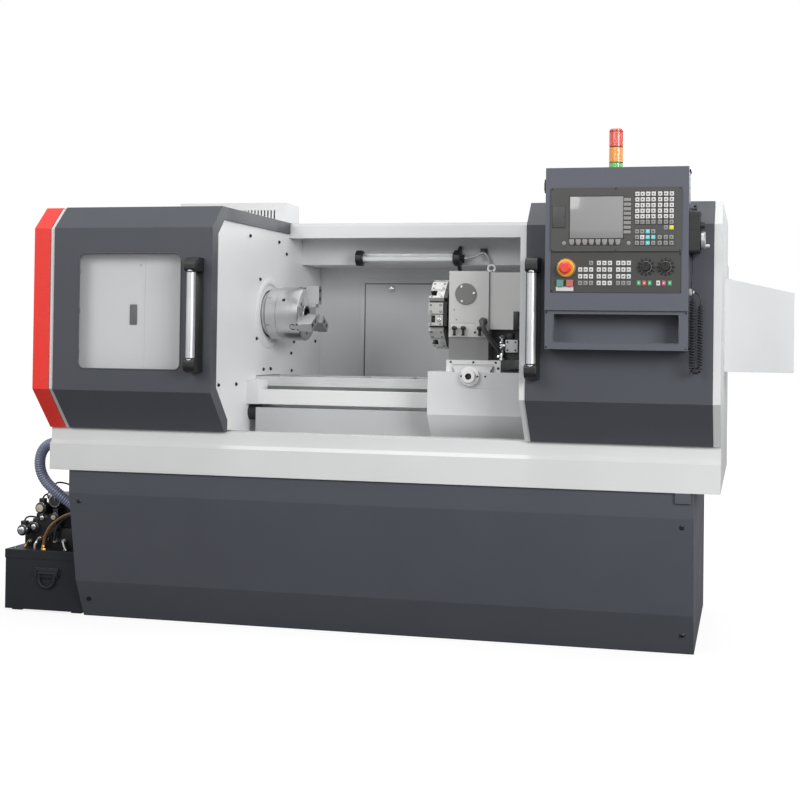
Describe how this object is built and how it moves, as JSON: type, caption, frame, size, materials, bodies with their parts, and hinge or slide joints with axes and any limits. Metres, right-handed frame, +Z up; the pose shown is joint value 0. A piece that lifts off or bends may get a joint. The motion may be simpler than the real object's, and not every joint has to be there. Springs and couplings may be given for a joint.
{
  "type": "cnc turning lathe",
  "caption": "Flat bed turning lathe with sliding guard doors, three jaw chuck, turret carriage, tailstock, swing-free control box, coolant tank and rear electrical cabinet.",
  "frame": {"origin": "middle of the footprint on the floor", "axes": "+X along the spindle from headstock to tailstock, +Y away from the operator, +Z up"},
  "size_m": [2.845, 1.4026, 1.724],
  "materials": {
    "sheet_grey": "satin powder coat",
    "sheet_dark": "satin powder coat",
    "sheet_white": "satin powder coat",
    "accent_red": "gloss paint",
    "machine_grey": "satin paint",
    "ground_iron": "ground",
    "ground_steel": "ground",
    "black_steel": "black oxide",
    "bright_steel": "polished",
    "black_plastic": "moulded",
    "grey_plastic": "moulded",
    "light_plastic": "moulded",
    "red_plastic": "moulded",
    "green_plastic": "moulded",
    "window_pane": "clear",
    "lamp_glass": "clear",
    "black_rubber": "matt",
    "pale_hose": "matt",
    "orange_hose": "matt",
    "aluminium": "machined"
  },
  "bodies": {
    "frame": {"base_frame": "sheet_dark", "base_front_panel": "sheet_dark", "casing_bolts": "black_steel", "chip_tray": "sheet_white", "bed": "ground_iron", "headstock": "machine_grey", "headstock_cover": "sheet_white", "spindle_bearings": "bright_steel", "bulkhead": "sheet_white", "left_end_panel": "accent_red", "right_end_panel": "sheet_white", "tail_hood": "sheet_white", "rear_wall": "sheet_white", "top_beam": "sheet_white", "work_lamp": "lamp_glass", "electrical_cabinet": "sheet_white", "main_motor": "machine_grey", "drive_belt": "black_rubber", "coolant_tank": "sheet_dark", "hydraulic_unit": "aluminium", "drain_hose": "pale_hose", "oil_hose": "orange_hose", "screw_cover": "sheet_white"},
    "left_door": {"left_door": "sheet_grey", "left_window": "window_pane", "left_handle": "black_plastic"},
    "right_door": {"right_door": "sheet_grey", "right_handle": "black_plastic", "control_box": "sheet_grey", "display_unit": "grey_plastic", "panel_keys": "light_plastic", "signal_tower": "green_plastic", "pendant_body": "black_plastic", "pendant_cord": "black_rubber"},
    "spindle": {"spindle": "ground_steel", "chuck_body": "ground_steel"},
    "jaw_1": {"chuck_jaw_1": "bright_steel"},
    "jaw_2": {"chuck_jaw_2": "bright_steel"},
    "jaw_3": {"chuck_jaw_3": "bright_steel"},
    "motor_pulley": {"motor_pulley": "aluminium"},
    "carriage": {"saddle": "sheet_white", "apron_cover": "sheet_white"},
    "cross_slide": {"cross_slide": "ground_iron", "turret_housing": "sheet_white"},
    "turret": {"turret_disc": "black_steel", "tool_blocks": "bright_steel"},
    "feed_screw": {"feed_screw": "ground_steel"},
    "tailstock": {"tailstock": "machine_grey"},
    "quill": {"tailstock_quill": "ground_steel"},
    "handwheel": {"tailstock_handwheel": "aluminium"},
    "rear_hatch": {"rear_hatch": "sheet_white"},
    "cabinet_door": {"cabinet_door": "sheet_white"},
    "tank_handle": {"tank_handle": "bright_steel"},
    "stop_mushroom": {"stop_mushroom": "red_plastic"},
    "start_button": {"start_button": "green_plastic"},
    "halt_button": {"halt_button": "red_plastic"},
    "feed_knob": {"feed_knob": "black_plastic"},
    "speed_knob": {"speed_knob": "black_plastic"},
    "pendant_dial": {"pendant_dial": "aluminium"},
    "pendant_selector": {"pendant_selector": "black_plastic"}
  },
  "joints": [
    {"name": "left_door_slide", "type": "slide", "parent": "frame", "child": "left_door", "axis": [1, 0, 0], "range_m": [0, 0.525]},
    {"name": "right_door_slide", "type": "slide", "parent": "frame", "child": "right_door", "axis": [1, 0, 0], "range_m": [-0.525, 0]},
    {"name": "spindle_spin", "type": "hinge", "parent": "frame", "child": "spindle", "pos_m": [-0.52, -0.046, 1.114], "axis": [1, 0, 0], "continuous": true},
    {"name": "jaw_1_slide", "type": "slide", "parent": "spindle", "child": "jaw_1", "axis": [0, 0, 1], "range_m": [-0.012, 0.006]},
    {"name": "jaw_2_slide", "type": "slide", "parent": "spindle", "child": "jaw_2", "axis": [0, -0.866, -0.5], "range_m": [-0.012, 0.006]},
    {"name": "jaw_3_slide", "type": "slide", "parent": "spindle", "child": "jaw_3", "axis": [0, 0.866, -0.5], "range_m": [-0.012, 0.006]},
    {"name": "motor_spin", "type": "hinge", "parent": "frame", "child": "motor_pulley", "pos_m": [-1.03, 0.19, 0.26], "axis": [1, 0, 0], "continuous": true},
    {"name": "carriage_slide", "type": "slide", "parent": "frame", "child": "carriage", "axis": [1, 0, 0], "range_m": [-0.4, 0.02]},
    {"name": "cross_slide_travel", "type": "slide", "parent": "carriage", "child": "cross_slide", "axis": [0, 1, 0], "range_m": [-0.15, 0.03]},
    {"name": "turret_spin", "type": "hinge", "parent": "cross_slide", "child": "turret", "pos_m": [0.21, -0.172, 1.114], "axis": [1, 0, 0], "continuous": true},
    {"name": "feed_screw_spin", "type": "hinge", "parent": "frame", "child": "feed_screw", "pos_m": [-0.5, -0.216, 0.752], "axis": [1, 0, 0], "range_deg": [-14400, 720]},
    {"name": "tailstock_slide", "type": "slide", "parent": "frame", "child": "tailstock", "axis": [1, 0, 0], "range_m": [-0.02, 0.14]},
    {"name": "handwheel_spin", "type": "hinge", "parent": "tailstock", "child": "handwheel", "pos_m": [0.93, -0.046, 1.114], "axis": [1, 0, 0], "range_deg": [0, 6480]},
    {"name": "quill_slide", "type": "slide", "parent": "tailstock", "child": "quill", "axis": [-1, 0, 0], "range_m": [0, 0.09]},
    {"name": "rear_hatch_hinge", "type": "hinge", "parent": "frame", "child": "rear_hatch", "pos_m": [0.2705, 0.534, 1.03], "axis": [0, 0, -1], "range_deg": [0, 100]},
    {"name": "cabinet_door_hinge", "type": "hinge", "parent": "frame", "child": "cabinet_door", "pos_m": [-0.6665, 0.6873, 1.12], "axis": [0, 0, -1], "range_deg": [0, 110]},
    {"name": "tank_handle_pivot", "type": "hinge", "parent": "frame", "child": "tank_handle", "pos_m": [-1.247, -0.339, 0.146], "axis": [-1, 0, 0], "range_deg": [0, 150]},
    {"name": "stop_press", "type": "slide", "parent": "right_door", "child": "stop_mushroom", "axis": [0, 1, 0], "range_m": [0, 0.006], "stiffness_N_per_m": 1500, "springref_m": -0.002},
    {"name": "start_press", "type": "slide", "parent": "right_door", "child": "start_button", "axis": [0, 1, 0], "range_m": [0, 0.003], "stiffness_N_per_m": 800, "springref_m": -0.002},
    {"name": "halt_press", "type": "slide", "parent": "right_door", "child": "halt_button", "axis": [0, 1, 0], "range_m": [0, 0.003], "stiffness_N_per_m": 800, "springref_m": -0.002},
    {"name": "feed_turn", "type": "hinge", "parent": "right_door", "child": "feed_knob", "pos_m": [0.964, -0.672, 1.258], "axis": [0, -1, 0], "range_deg": [-150, 150]},
    {"name": "speed_turn", "type": "hinge", "parent": "right_door", "child": "speed_knob", "pos_m": [1.024, -0.672, 1.258], "axis": [0, -1, 0], "range_deg": [-150, 150]},
    {"name": "dial_spin", "type": "hinge", "parent": "right_door", "child": "pendant_dial", "pos_m": [1.13, -0.629, 1.342], "axis": [1, 0, 0], "continuous": true},
    {"name": "selector_turn", "type": "hinge", "parent": "right_door", "child": "pendant_selector", "pos_m": [1.13, -0.629, 1.388], "axis": [1, 0, 0], "range_deg": [-60, 60]}
  ],
  "couplings": [
    {"joint": "jaw_2_slide", "follows": "jaw_1_slide", "ratio": 1},
    {"joint": "jaw_3_slide", "follows": "jaw_1_slide", "ratio": 1},
    {"joint": "motor_spin", "follows": "spindle_spin", "ratio": 1.6667},
    {"joint": "feed_screw_spin", "follows": "carriage_slide", "rad_per_m": 628.32},
    {"joint": "quill_slide", "follows": "handwheel_spin", "m_per_rad": 0.00079577}
  ]
}
